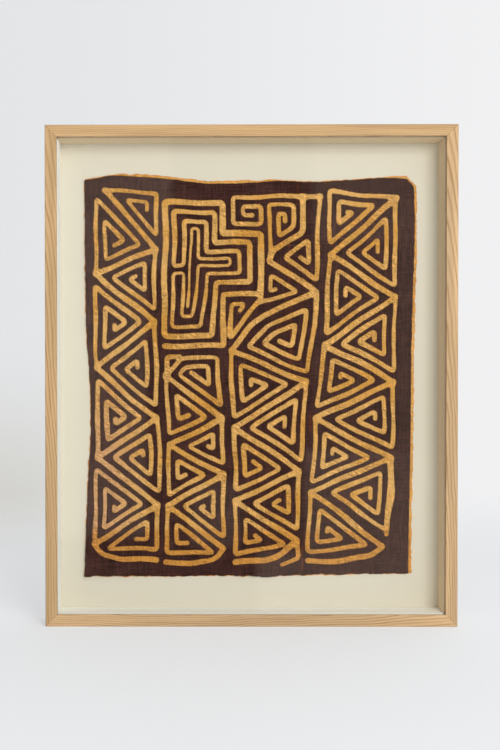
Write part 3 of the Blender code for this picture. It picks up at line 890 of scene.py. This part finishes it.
JOIN = 3.6
WIDTH_UNEVEN = 0.5
CUT_UNEVEN = 0.27
RAGGED = 0.75
slot_field = np.full((GRID_HIGH, GRID_WIDE), FAR)
for line, wide_start, wide_end in cloth_lines():
    points = drawn_line(line, SPINE_TIGHT if wide_start == SPINE_WIDE else COIL_TIGHT)
    share = np.linspace(0, 1, len(points))
    this = near_line(points, wide_start + (wide_end - wide_start) * share)
    blend = np.maximum(JOIN - np.abs(slot_field - this), 0) / JOIN
    slot_field = np.minimum(slot_field, this) - blend**2 * JOIN / 4
slot_field += WIDTH_UNEVEN * slow_noise(17.0, 3) + CUT_UNEVEN * slow_noise(2.6, 4) - WIDER
ragged = slow_noise(2.3, 6) + 0.7 * slow_noise(6.0, 7)
near_foot = np.exp(-np.maximum(grid_up, 0) / 12)[:, None]
torn = RAGGED * (0.4 + 0.9 * near_foot) * ragged
dark_field = np.minimum(slot_field, inside_outline(cloth_outline(False)) + torn)
ochre_field = inside_outline(cloth_outline(True)) + RAGGED * (slow_noise(3.1, 9) + 0.6 * ragged)


def sample(field, points):
    """A grid's values at any points, in mm."""
    at = (np.asarray(points) - GRID_LOW) / CELL
    at = np.clip(at, 0, [GRID_WIDE - 1.001, GRID_HIGH - 1.001])
    i, j = at[:, 0].astype(int), at[:, 1].astype(int)
    s, t = at[:, 0] - i, at[:, 1] - j
    low = field[j, i] * (1 - s) + field[j, i + 1] * s
    high = field[j + 1, i] * (1 - s) + field[j + 1, i + 1] * s
    return low * (1 - t) + high * t


# The edges of a grid cell that a level line joins, by which of its corners lie above the level. Sides 0 to
# 3 are the lower, right, upper and left one, and the corners count 1, 2, 4 and 8 from the lower left one
# round
CELL_LINES = {1: [(0, 3)], 2: [(1, 0)], 3: [(1, 3)], 4: [(2, 1)], 5: [(0, 3), (2, 1)], 6: [(2, 0)]}
CELL_LINES |= {7: [(2, 3)], 8: [(3, 2)], 9: [(0, 2)], 10: [(1, 0), (3, 2)], 11: [(1, 2)], 12: [(3, 1)]}
CELL_LINES |= {13: [(0, 1)], 14: [(3, 0)]}


def level_loops(field, level, step):
    """Closed lines where a field has a given value, with points a step apart, higher values on their left."""
    f = field - level
    f = np.where(f == 0, 1e-9, f)
    above = f > 0
    kind = above[:-1, :-1] + 2 * above[:-1, 1:] + 4 * above[1:, 1:] + 8 * above[1:, :-1]
    rows, columns = np.nonzero((kind > 0) & (kind < 15))
    following = {}
    for j, i in zip(rows.tolist(), columns.tolist()):
        sides = ((0, j, i), (1, j, i + 1), (0, j + 1, i), (1, j, i))
        for start, end in CELL_LINES[int(kind[j, i])]:
            following[sides[start]] = sides[end]
    loops = []
    while following:
        first, at = following.popitem()
        chain = [first]
        while at != first:
            chain.append(at)
            at = following.pop(at)
        way, j, i = np.array(chain).T
        near = f[j, i]
        right = f[j, np.minimum(i + 1, GRID_WIDE - 1)]
        upper = f[np.minimum(j + 1, GRID_HIGH - 1), i]
        share = near / (near - np.where(way == 0, right, upper))
        across = i + np.where(way == 0, share, 0)
        up = j + np.where(way == 1, share, 0)
        points = np.stack([across, up], 1) * CELL + GRID_LOW
        ring = np.vstack([points, points[:1]])
        run = np.concatenate([[0], np.cumsum(np.hypot(*np.diff(ring, axis=0).T))])
        count = max(6, round(run[-1] / step))
        if run[-1] < 2.5 * step:
            continue
        at = np.linspace(0, run[-1], count, endpoint=False)
        loops.append(np.stack([np.interp(at, run, ring[:, 0]), np.interp(at, run, ring[:, 1])], 1))
    return loops


def cloth_net(field, levels, step, spacing):
    """Points and triangles of a flat sheet that is cut where a field is zero, with rings of points at the
    given distances from the cut and evenly spread points further in."""
    points, joins = [], []
    for level in levels:
        for loop in level_loops(field, level, step):
            n = len(points)
            points += [tuple(p) for p in loop]
            joins += [(n + i, n + (i + 1) % len(loop)) for i in range(len(loop))]
    rows = np.arange(GRID_LOW[1], grid_up[-1], spacing * 0.866)
    columns = np.arange(GRID_LOW[0], grid_across[-1], spacing)
    spots = np.array([(x + (k % 2) * spacing / 2, y) for k, y in enumerate(rows) for x in columns])
    spots += np.random.default_rng(8).uniform(-0.15, 0.15, spots.shape) * spacing
    spots = spots[sample(field, spots) > levels[-1] + spacing * 0.4]
    points += [tuple(p) for p in spots]
    flat, _, cells, _, _, _ = delaunay_2d_cdt([Vector(p) for p in points], joins, [], 0, 0.001, False)
    flat = np.array([tuple(p) for p in flat])
    cells = np.array(cells)
    middles = flat[cells].mean(axis=1)
    cells = cells[sample(field, middles) > 0.0]
    used, cells = np.unique(cells, return_inverse=True)
    return flat[used], cells.reshape(-1, 3)


def lift(points):
    """How far the cloths stand off the mount board, in mm: slow waves, and loose edges at the left and
    below."""
    u, v = points[:, 0], points[:, 1]
    waves = 0.26 * np.sin(u / 41 + v / 67 + 0.5) + 0.20 * np.sin(v / 37 - u / 83 + 2.0)
    waves += 0.10 * np.sin(u / 13 + v / 19 + 1.0) * np.sin(v / 11 - u / 23)
    left = 1.9 * np.exp(-np.maximum(u - 2, 0) / 13) * (0.60 + 0.40 * np.sin(v / 58 + 1.2))
    below = 1.3 * np.exp(-np.maximum(v - 1, 0) / 10) * (0.55 + 0.45 * np.sin(u / 33 + 0.8))
    right = 0.7 * np.exp(-np.maximum(426 - u, 0) / 9) * (0.5 + 0.5 * np.sin(v / 44))
    return 0.70 + waves + left + below + right


mount_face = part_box("mount_board")[0].y


def over_board(u, v, height):
    """A place in metres, from the place in mm on the cloth and the height in mm over the mount board."""
    return ((u + CLOTH_LEFT) * MM, mount_face - height * MM, (v + CLOTH_LOW) * MM)


def cloth_piece(name, points, cells, height, edge, surface):
    """A sheet's mesh in its place over the mount board. height is in mm from the board, edge the distance
    in mm to the nearest cut or fold, kept for the material."""
    flat = points * MM
    across = flat[:, 0] + CLOTH_LEFT * MM
    up = flat[:, 1] + CLOTH_LOW * MM
    verts = np.stack([across, mount_face - height * MM, up], 1)
    made = new_piece(name, verts.tolist(), cells.tolist(), surface, smooth=True)
    kept = made.data.attributes.new("edge", "FLOAT", "POINT")
    kept.data.foreach_set("value", edge.astype(np.float32))
    return made


FRAY_THICK = 0.11
FRAY_STEPS = 4
FRAY_INSIDE = 0.8
FRAY_SIDES = (0.0, 2.1, 4.2)


def frays(name, field, chosen, count, longest, seed, surface):
    """Loose threads at a torn edge, each from just inside the cloth to a little outside it."""
    rng = np.random.default_rng(seed)
    outline = max(level_loops(field, 0.0, 1.0), key=lambda loop: np.ptp(loop[:, 0]))
    verts, faces = [], []
    for k in rng.integers(0, len(outline), count):
        spot = outline[k]
        if not chosen(*spot):
            continue
        along = outline[(k + 1) % len(outline)] - outline[k - 1]
        along = along / np.linalg.norm(along)
        out = np.array([along[1], -along[0]])
        stray, curl, length = rng.uniform(-1.2, 1.2), rng.uniform(-1.5, 1.5), rng.uniform(0.5, longest)
        height = float(lift(spot[None])[0])
        n = len(verts)
        for i in range(FRAY_STEPS):
            t = i / (FRAY_STEPS - 1)
            at = spot + out * ((length + FRAY_INSIDE) * t - FRAY_INSIDE) + along * (stray * t + curl * t * t)
            for turn in FRAY_SIDES:
                u, v = at + along * math.cos(turn) * FRAY_THICK
                depth = max(0.3, height + 0.45 - 0.5 * t) + math.sin(turn) * FRAY_THICK
                verts.append(over_board(u, v, depth))
        for i in range(FRAY_STEPS - 1):
            for j in range(3):
                a, b = n + 3 * i + j, n + 3 * i + (j + 1) % 3
                faces.append((a, b, b + 3, a + 3))
        faces += [(n, n + 1, n + 2), (len(verts) - 1, len(verts) - 2, len(verts) - 3)]
    made = new_piece(name, verts, faces, surface, smooth=True)
    face_outwards(made)
    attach(made, "root")
    return made


THREADS = 1900.0


def weave_group():
    """A plain-woven cotton: uneven yarns up and across, and the fine crossing of the threads. Across and Up
    say how much the yarns of each direction show."""
    inputs = {"Place": "Vector", "Across": "Float", "Up": "Float"}
    outputs = {"Shade": "Float", "Height": "Float", "Cloud": "Float"}
    group, given, result = node_group("plain_weave", "ShaderNodeTree", inputs, outputs)

    def yarns(scale, detail=1.0):
        """Noise around zero, stretched by its three scales."""
        return maths(group, "SUBTRACT", lumps(group, given["Place"], scale, detail), 0.5)

    across = weighted(group, (yarns((140, 900, 2300)), 0.7), base=yarns((45, 300, 900)))
    up = weighted(group, (yarns((2300, 900, 140)), 0.7), base=yarns((900, 300, 45)))
    shade = weighted(group, (across, given["Across"]), (up, given["Up"]))
    crossing = 0.5
    for part in ("X", "Z"):
        turned = maths(group, "MULTIPLY", parts(group, given["Place"])[part], THREADS * 2 * math.pi)
        crossing = maths(group, "MULTIPLY", crossing, maths(group, "SINE", turned))
    group.links.new(weighted(group, (crossing, 0.12), base=shade), result["Shade"])
    group.links.new(weighted(group, (shade, 1.6), base=crossing), result["Height"])
    group.links.new(yarns((17, 17, 17), 4.0), result["Cloud"])
    return group


def tinted(tree, colour, share, tone):
    """A colour multiplied by one plus a share of a value around zero."""
    return mix_colour(tree, 1.0, colour, grey(tree, weighted(tree, (tone, share), base=1.0)), "MULTIPLY")


plain_weave = weave_group()

GROUND_RINGS = (0.0, 0.5, 1.4)
GROUND_STEP = 2.0
GROUND_SPACING = 2.3
FOLD_REACH = 1.4
GROUND_BULGE = 0.22
OCHRE = (0.86, 0.480, 0.148, 1)
OCHRE_DEEP = (0.75, 0.365, 0.070, 1)
OCHRE_EDGE = (0.90, 0.38, 0.075, 1)
OCHRE_PALER = (0.76, 0.41, 0.180, 1)
OCHRE_SHADE = (0.34, 0.14, 0.035, 1)
OCHRE_BELOW_REFLECTION_EDGE = (0.70, 0.30, 0.05, 1)
# Where the cotton is paler, at the left and below, and where it is painted deeper at the foot, a painted
# reflection edge where the glass's pale reflection over the cloth ends, in metres across and up
PALER_ACROSS = (-0.13, -0.19)
PALER_UP = (0.36, 0.20)
REFLECTION_EDGE_UP = (0.126, 0.112)
# How far the browner edge and the shade of the hems reach in, in mm, and how strong both are at most
EDGE_REACH = (3.2, 0.6)
HEM_SHADE = (1.0, 0.1)
STRONGEST = 0.85
PUCKER_SCALES = (125, 1, 460)
GATHERED = (0.36, 0.60, 0.25, 1.0)
CREASE = (0.040, 0.004)
ground_points, ground_cells = cloth_net(ochre_field, GROUND_RINGS, GROUND_STEP, GROUND_SPACING)
ground_edge = sample(ochre_field, ground_points)
between = sample(slot_field, ground_points)
bulge = GROUND_BULGE * np.clip((-between - 0.3) / 2.2, 0, 1)
roll = np.sqrt(np.clip(1 - (1 - np.clip(ground_edge / FOLD_REACH, 0, 1)) ** 2, 0, 1))
ground_height = lift(ground_points) * roll + bulge

cotton, tree, shader = new_material("ochre_cotton_weave")
place = own_place(tree)
feeds = {"Place": place, "Across": 0.55, "Up": 1.0}
weave = add(tree, "ShaderNodeGroup", feeds, node_tree=plain_weave).outputs
split = parts(tree, place)
# puckers: short ridges and creases that slant a little, gathered in some places more than in others. Besides
# their bump, they are painted into the colour: painted shade in the creases, painted light and shade on the
# ridges
leaning = weighted(tree, (split["Z"], 0.35), base=split["X"])
rising = weighted(tree, (split["X"], 0.42), base=split["Z"])
slant = add(tree, "ShaderNodeCombineXYZ", {0: leaning, 2: rising}).outputs[0]
rise = maths(tree, "SUBTRACT", lumps(tree, slant, PUCKER_SCALES, 1.0), 0.5)
gathered = spread(tree, lumps(tree, place, 26.0), *GATHERED)
crease_shade_painted = maths(tree, "MULTIPLY", spread(tree, maths(tree, "ABSOLUTE", rise), *CREASE), gathered)
pucker = maths(tree, "MULTIPLY", rise, gathered)
colour = mix_colour(tree, spread(tree, weave["Cloud"], -0.10, 0.14), OCHRE, OCHRE_DEEP)
paler_part = spread(tree, split["X"], *PALER_ACROSS)
paler_part = maths(tree, "MULTIPLY", paler_part, spread(tree, split["Z"], *PALER_UP))
colour = mix_colour(tree, paler_part, colour, OCHRE_PALER)
# Painted reflection edge: below this height the ochre is painted deeper, where the glass's pale reflection
# over the cloth ends
colour = mix_colour(tree, spread(tree, split["Z"], *REFLECTION_EDGE_UP, 0.0, STRONGEST), colour, OCHRE_BELOW_REFLECTION_EDGE)
edge = add(tree, "ShaderNodeAttribute", attribute_name="edge").outputs["Fac"]
colour = mix_colour(tree, spread(tree, edge, *EDGE_REACH, 0.0, STRONGEST), colour, OCHRE_EDGE)
shown = add(tree, "ShaderNodeAttribute", attribute_name="shown").outputs["Fac"]
colour = mix_colour(tree, spread(tree, shown, *HEM_SHADE, 0.0, STRONGEST), colour, OCHRE_SHADE)
# Painted shade: the creases are painted darker
colour = mix_colour(tree, maths(tree, "MULTIPLY", crease_shade_painted, 0.95), colour, OCHRE_SHADE)
colour = tinted(tree, colour, 0.8, weave["Shade"])
# Painted light and shade: the puckers' ridges are painted lighter and darker
colour = tinted(tree, colour, 1.1, pucker)
feed(tree, shader, {"Base Color": colour, "Roughness": 0.88, "Specular IOR Level": 0.2})
give_bump(tree, shader, weighted(tree, (weave["Height"], 0.16), base=pucker), 0.7, 0.0014)
ground = cloth_piece("ochre_cloth", ground_points, ground_cells, ground_height, ground_edge, cotton)
kept = ground.data.attributes.new("shown", "FLOAT", "POINT")
kept.data.foreach_set("value", np.clip(-sample(dark_field, ground_points), -3, 3).astype(np.float32))
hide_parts("mola_ground")
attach(ground, "root")
threads = {"count": 120, "longest": 1.6, "seed": 21, "surface": cotton}
ochre_frays = frays("ochre_frays", ochre_field, lambda u, v: u > 415 or v > 505, **threads)

# Dark cloth. A darker plain-woven cotton, laid over the ochre one and slit along the pattern. The slits'
# edges are turned under and whipped down, so that each line shows the ochre between two soft folds.
DARK_RINGS = (0.0, 0.13, 0.45, 1.1)
DARK_STEP = 1.8
DARK_SPACING = 3.2
HEM_HIGH = 0.78
HEM_ROUND = 0.8
HEM_DIP = 0.2
OVER_GROUND = 0.10
DARK = (0.052, 0.0190, 0.0155, 1)
DARK_WORN = (0.066, 0.026, 0.0215, 1)
DARK_RUST = (0.125, 0.032, 0.014, 1)
# Rust-red warp threads that show through the dark cotton, in metres across and up, and how strongly
RUST_STREAKS = [
    {"across": 0.0645, "up": (0.295, 0.325), "share": 0.8},
    {"across": 0.054, "up": (0.31, 0.42), "share": 0.7},
    {"across": 0.080, "up": (0.245, 0.275), "share": 0.8},
    {"across": 0.063, "up": (0.545, 0.572), "share": 1.0},
    {"across": 0.052, "up": (0.44, 0.50), "share": 0.6},
    {"across": 0.069, "up": (0.060, 0.100), "share": 0.8},
    {"across": -0.094, "up": (0.35, 0.39), "share": 0.4},
]
STREAK_WIDE = (0.0022, 0.0006)
STREAK_SOFT = 0.008
HEM_TONE = (0.062, 0.022, 0.016, 1)
HEM_REACH = (0.9, 0.2)
dark_points, dark_cells = cloth_net(dark_field, DARK_RINGS, DARK_STEP, DARK_SPACING)
dark_edge = sample(dark_field, dark_points)
round_part = np.sqrt(np.clip(1 - (1 - np.clip(dark_edge / HEM_ROUND, 0, 1)) ** 2, 0, 1))
dip = HEM_DIP * np.clip((dark_edge - 1.2) / 2.0, 0, 1)
dark_height = lift(dark_points) + OVER_GROUND + HEM_HIGH * round_part - dip

dark_cotton, tree, shader = new_material("dark_cotton_weave")
place = own_place(tree)
feeds = {"Place": place, "Across": 0.8, "Up": 1.0}
weave = add(tree, "ShaderNodeGroup", feeds, node_tree=plain_weave).outputs
split = parts(tree, place)
colour = mix_colour(tree, spread(tree, weave["Cloud"], -0.12, 0.14), DARK, DARK_WORN)
for streak in RUST_STREAKS:
    off = maths(tree, "ABSOLUTE", maths(tree, "SUBTRACT", split["X"], streak["across"]))
    shown = spread(tree, off, *STREAK_WIDE)
    low, high = streak["up"]
    for end, inside in ((low, low + STREAK_SOFT), (high, high - STREAK_SOFT)):
        shown = maths(tree, "MULTIPLY", shown, spread(tree, split["Z"], end, inside))
    colour = mix_colour(tree, maths(tree, "MULTIPLY", shown, streak["share"]), colour, DARK_RUST)
edge = add(tree, "ShaderNodeAttribute", attribute_name="edge").outputs["Fac"]
colour = mix_colour(tree, spread(tree, edge, *HEM_REACH), colour, HEM_TONE)
colour = tinted(tree, colour, 1.9, weave["Shade"])
feed(tree, shader, {"Base Color": colour, "Roughness": 0.92, "Specular IOR Level": 0.15})
give_bump(tree, shader, weave["Height"], 0.5, 0.0003)
dark = cloth_piece("dark_cloth", dark_points, dark_cells, dark_height, dark_edge, dark_cotton)
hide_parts("mola_top")
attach(dark, "root")

# Whip stitches. Dark cotton thread, laid slanting over the turned edges about every three millimetres,
# from the ochre cloth into the dark one. They are placed along the cut lines by geometry nodes.
STITCH_SPACING = 3.3
STITCH_THICK = 0.19
STITCH_SEED = 5
STITCH_CURVE = {"Start": (-0.00018, -0.00030, -0.00015), "Middle": (0.0, 0.00010, 0.00085)}
STITCH_CURVE |= {"End": (0.00028, 0.00085, 0.00052), "Resolution": 2}
STITCH_TURN = (0.1, 0.1, 0.35)
STITCH_SCALE = (0.8, 1.2)
SEAM_OVER_CLOTH = 0.2
SEAM_STEP = 2.0
THREAD_DARK = (0.040, 0.016, 0.014, 1)
THREAD_PALE = (0.075, 0.036, 0.030, 1)
seam_points, seam_joins = [], []
for loop in level_loops(dark_field, 0.0, SEAM_STEP):
    n = len(seam_points)
    seam_points += [over_board(u, v, high + SEAM_OVER_CLOTH) for (u, v), high in zip(loop, lift(loop))]
    seam_joins += [(n + i, n + (i + 1) % len(loop)) for i in range(len(loop))]


def stitch_tree():
    """Stitches along every edge of a wire mesh, with their spacing, thickness, seed and material given."""
    inputs = {"Seam": "Geometry", "Spacing": "Float", "Thickness": "Float", "Seed": "Int"}
    inputs |= {"Thread": "Material"}
    group, given, result = node_group("whip_stitches", "GeometryNodeTree", inputs, {"Stitches": "Geometry"})
    curves = add(group, "GeometryNodeMeshToCurve", {"Mesh": given["Seam"]}).outputs[0]
    feeds = {"Curve": curves, "Length": given["Spacing"]}
    spots = add(group, "GeometryNodeCurveToPoints", feeds, mode="LENGTH").outputs
    align = "FunctionNodeAlignRotationToVector"
    along = add(group, align, {"Vector": spots["Tangent"]}, axis="X").outputs[0]
    feeds = {"Rotation": along, "Vector": (0, -1, 0)}
    facing = add(group, align, feeds, axis="Z", pivot_axis="X").outputs[0]
    path = add(group, "GeometryNodeCurveQuadraticBezier", STITCH_CURVE).outputs[0]
    feeds = {"Resolution": 4, "Radius": given["Thickness"]}
    ring = add(group, "GeometryNodeCurvePrimitiveCircle", feeds).outputs[0]
    stitch = add(group, "GeometryNodeCurveToMesh", {"Curve": path, "Profile Curve": ring}).outputs[0]
    turn = add(group, "FunctionNodeRandomValue", {"Seed": given["Seed"]}, data_type="FLOAT_VECTOR")
    turn.inputs[0].default_value = [-most for most in STITCH_TURN]
    turn.inputs[1].default_value = STITCH_TURN
    feeds = {"Rotation": facing, "Rotate By": turn.outputs[0]}
    turned = add(group, "FunctionNodeRotateRotation", feeds, rotation_space="LOCAL").outputs[0]
    grown = add(group, "FunctionNodeRandomValue", {"Seed": given["Seed"]}, data_type="FLOAT")
    grown.inputs[2].default_value, grown.inputs[3].default_value = STITCH_SCALE
    feeds = {"Points": spots["Points"], "Instance": stitch, "Rotation": turned, "Scale": grown.outputs[1]}
    placed = add(group, "GeometryNodeInstanceOnPoints", feeds).outputs[0]
    real = add(group, "GeometryNodeRealizeInstances", {"Geometry": placed}).outputs[0]
    feeds = {"Geometry": real, "Material": given["Thread"]}
    group.links.new(add(group, "GeometryNodeSetMaterial", feeds).outputs[0], result["Stitches"])
    return group


thread, tree, shader = new_material("dark_thread")
twist = lumps(tree, own_place(tree), 1400.0, 1.0)
feed(tree, shader, {"Base Color": mix_colour(tree, twist, THREAD_DARK, THREAD_PALE), "Roughness": 0.8})
wire = bpy.data.meshes.new("cut_lines")
wire.from_pydata(seam_points, seam_joins, [])
seam = in_scene("cut_lines", wire)
sewing = seam.modifiers.new("sewing", "NODES")
sewing.node_group = stitch_tree()
settings = {"Spacing": STITCH_SPACING * MM, "Thickness": STITCH_THICK * MM}
settings |= {"Seed": STITCH_SEED, "Thread": thread}
for socket in sewing.node_group.interface.items_tree:
    if socket.name in settings:
        sewing[socket.identifier] = settings[socket.name]
seam.update_tag()
bpy.context.view_layer.update()
sewn = bpy.data.meshes.new_from_object(seam.evaluated_get(bpy.context.evaluated_depsgraph_get()))
bpy.data.objects.remove(seam)
sewn.name = "whip_stitches"
stitches = in_scene("whip_stitches", sewn)
sewn.shade_smooth()
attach(stitches, "root")
threads = {"count": 330, "longest": 2.2, "seed": 22, "surface": thread}
dark_frays = frays("dark_frays", dark_field, lambda u, v: u < 12 or v < 12, **threads)
